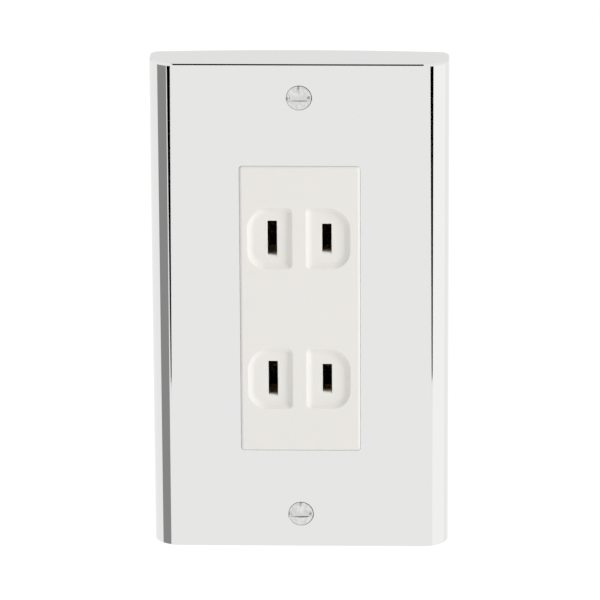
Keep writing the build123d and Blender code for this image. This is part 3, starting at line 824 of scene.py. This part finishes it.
def emitter(name, light):
    """A panel's material: the same light all over."""
    material = bpy.data.materials.new(name)
    material.use_nodes = True
    tree = material.node_tree
    tree.nodes.clear()
    output = tree.nodes.new("ShaderNodeOutputMaterial")
    glow = tree.nodes.new("ShaderNodeEmission")
    glow.inputs["Color"].default_value = (1, 1, 1, 1)
    glow.inputs["Strength"].default_value = light
    tree.links.new(glow.outputs["Emission"], output.inputs["Surface"])
    return material


def add_panel(name, top, foot, light, towards):
    """A far curved panel, seen only in reflections: towards gives the direction of each of its points."""
    points, faces = [], []
    for row in range(PANEL_STEPS + 1):
        height, left, right = (a + (b - a) * row / PANEL_STEPS for a, b in zip(top, foot))
        for column in range(PANEL_STEPS + 1):
            across = left + (right - left) * column / PANEL_STEPS
            points.append(towards(across, height) * PANEL_DISTANCE)
    width = PANEL_STEPS + 1
    for row in range(PANEL_STEPS):
        for column in range(PANEL_STEPS):
            a = row * width + column
            faces.append((a, a + 1, a + width + 1, a + width))
    mesh = bpy.data.meshes.new(name)
    mesh.from_pydata(points, [], faces)
    mesh.materials.append(emitter(name, light))
    panel = bpy.data.objects.new(name, mesh)
    bpy.context.scene.collection.objects.link(panel)
    panel.visible_camera = False
    panel.visible_diffuse = False
    panel.visible_shadow = False
    panel.visible_transmission = False


def add_world():
    """White all round, dimmer as light on matt surfaces so that the key light can shape them."""
    world = bpy.data.worlds.new("world")
    bpy.context.scene.world = world
    world.use_nodes = True
    tree = world.node_tree
    background = tree.nodes["Background"]
    path = tree.nodes.new("ShaderNodeLightPath")
    mix = tree.nodes.new("ShaderNodeMix")
    mix.inputs["A"].default_value = 1.0
    mix.inputs["B"].default_value = WORLD_DIFFUSE
    tree.links.new(path.outputs["Is Diffuse Ray"], mix.inputs["Factor"])
    background.inputs["Color"].default_value = (1, 1, 1, 1)
    tree.links.new(mix.outputs["Result"], background.inputs["Strength"])


def add_light(name, azimuth, elevation, distance, size, power):
    data = bpy.data.lights.new(name, "AREA")
    data.size = size
    data.energy = power
    light = bpy.data.objects.new(name, data)
    place = direction(azimuth, elevation)
    light.location = place * distance
    light.rotation_euler = place.to_track_quat("Z", "Y").to_euler()
    bpy.context.scene.collection.objects.link(light)
    light.visible_camera = False
    light.visible_glossy = False


def add_floor():
    mesh = bpy.data.meshes.new("floor")
    low = cad_box[0][2] - FLOOR_DROP
    corners = [(-1, -1), (1, -1), (1, 1), (-1, 1)]
    mesh.from_pydata([(x * FLOOR_REACH, y * FLOOR_REACH, low) for x, y in corners], [], [(0, 1, 2, 3)])
    material, _, shader = new_material("floor")
    shader.inputs["Base Color"].default_value = (FLOOR_GREY, FLOOR_GREY, FLOOR_GREY, 1)
    shader.inputs["Roughness"].default_value = 0.9
    shader.inputs["Emission Color"].default_value = (1, 1, 1, 1)
    shader.inputs["Emission Strength"].default_value = FLOOR_GLOW
    mesh.materials.append(material)
    floor = bpy.data.objects.new("floor", mesh)
    bpy.context.scene.collection.objects.link(floor)
    floor.visible_glossy = False


# ---- Build ----

add_camera()
add_world()
add_floor()
add_light("key", *KEY_PLACE, KEY_POWER)
for name, (top, foot, light) in PANELS.items():
    add_panel(name, top, foot, light, direction)
for name, (top, foot, light) in OVERHEAD_PANELS.items():
    add_panel(name, top, foot, light, overhead)

bpy.context.scene.view_settings.view_transform = "Standard"

chrome = chrome_material()
turned_chrome = turned_chrome_material()
milled_metal = milled_metal_material()
face_plastic = face_plastic_material()
node_materials = {
    "rear_housing": casing_plastic_material(),
    "mounting_strap": strap_steel_material(),
    "housing_rivets": strap_steel_material(),
}
brass = brass_material()
spring = spring_steel_material()
nylon = nylon_material()
button = button_material()
for name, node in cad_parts.items():
    if name.startswith(("contact_spring", "lock_spring")):
        node_materials[name] = spring
    elif name.startswith(("contact", "bus_bar")):
        node_materials[name] = brass
    elif name.startswith("screw_collar"):
        node_materials[name] = nylon
    elif name.startswith("release_button"):
        node_materials[name] = button
    if name in node_materials:
        node.data.materials.clear()
        node.data.materials.append(node_materials[name])

# The second material is near-black painted shade on the countersink walls.
plate = make_plate(chrome, painted_gap_shade_material())
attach(plate, "device")
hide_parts("cover_plate")

face = make_face(face_plastic)
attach(face, "device")
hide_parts("front_housing")

for row, side in (("upper", 1), ("lower", -1)):
    screw = make_screw(f"oval_head_screw_{row}", row, side, turned_chrome, milled_metal)
    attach(screw, f"screw_{row}")
    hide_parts(f"cover_screw_{row}")

for row in ("upper", "lower"):
    for pole in ("neutral", "live"):
        name = f"lock_spring_{row}_{pole}"
        leaf, start, end = make_lock_spring(name, spring)
        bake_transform(leaf)
        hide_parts(name)
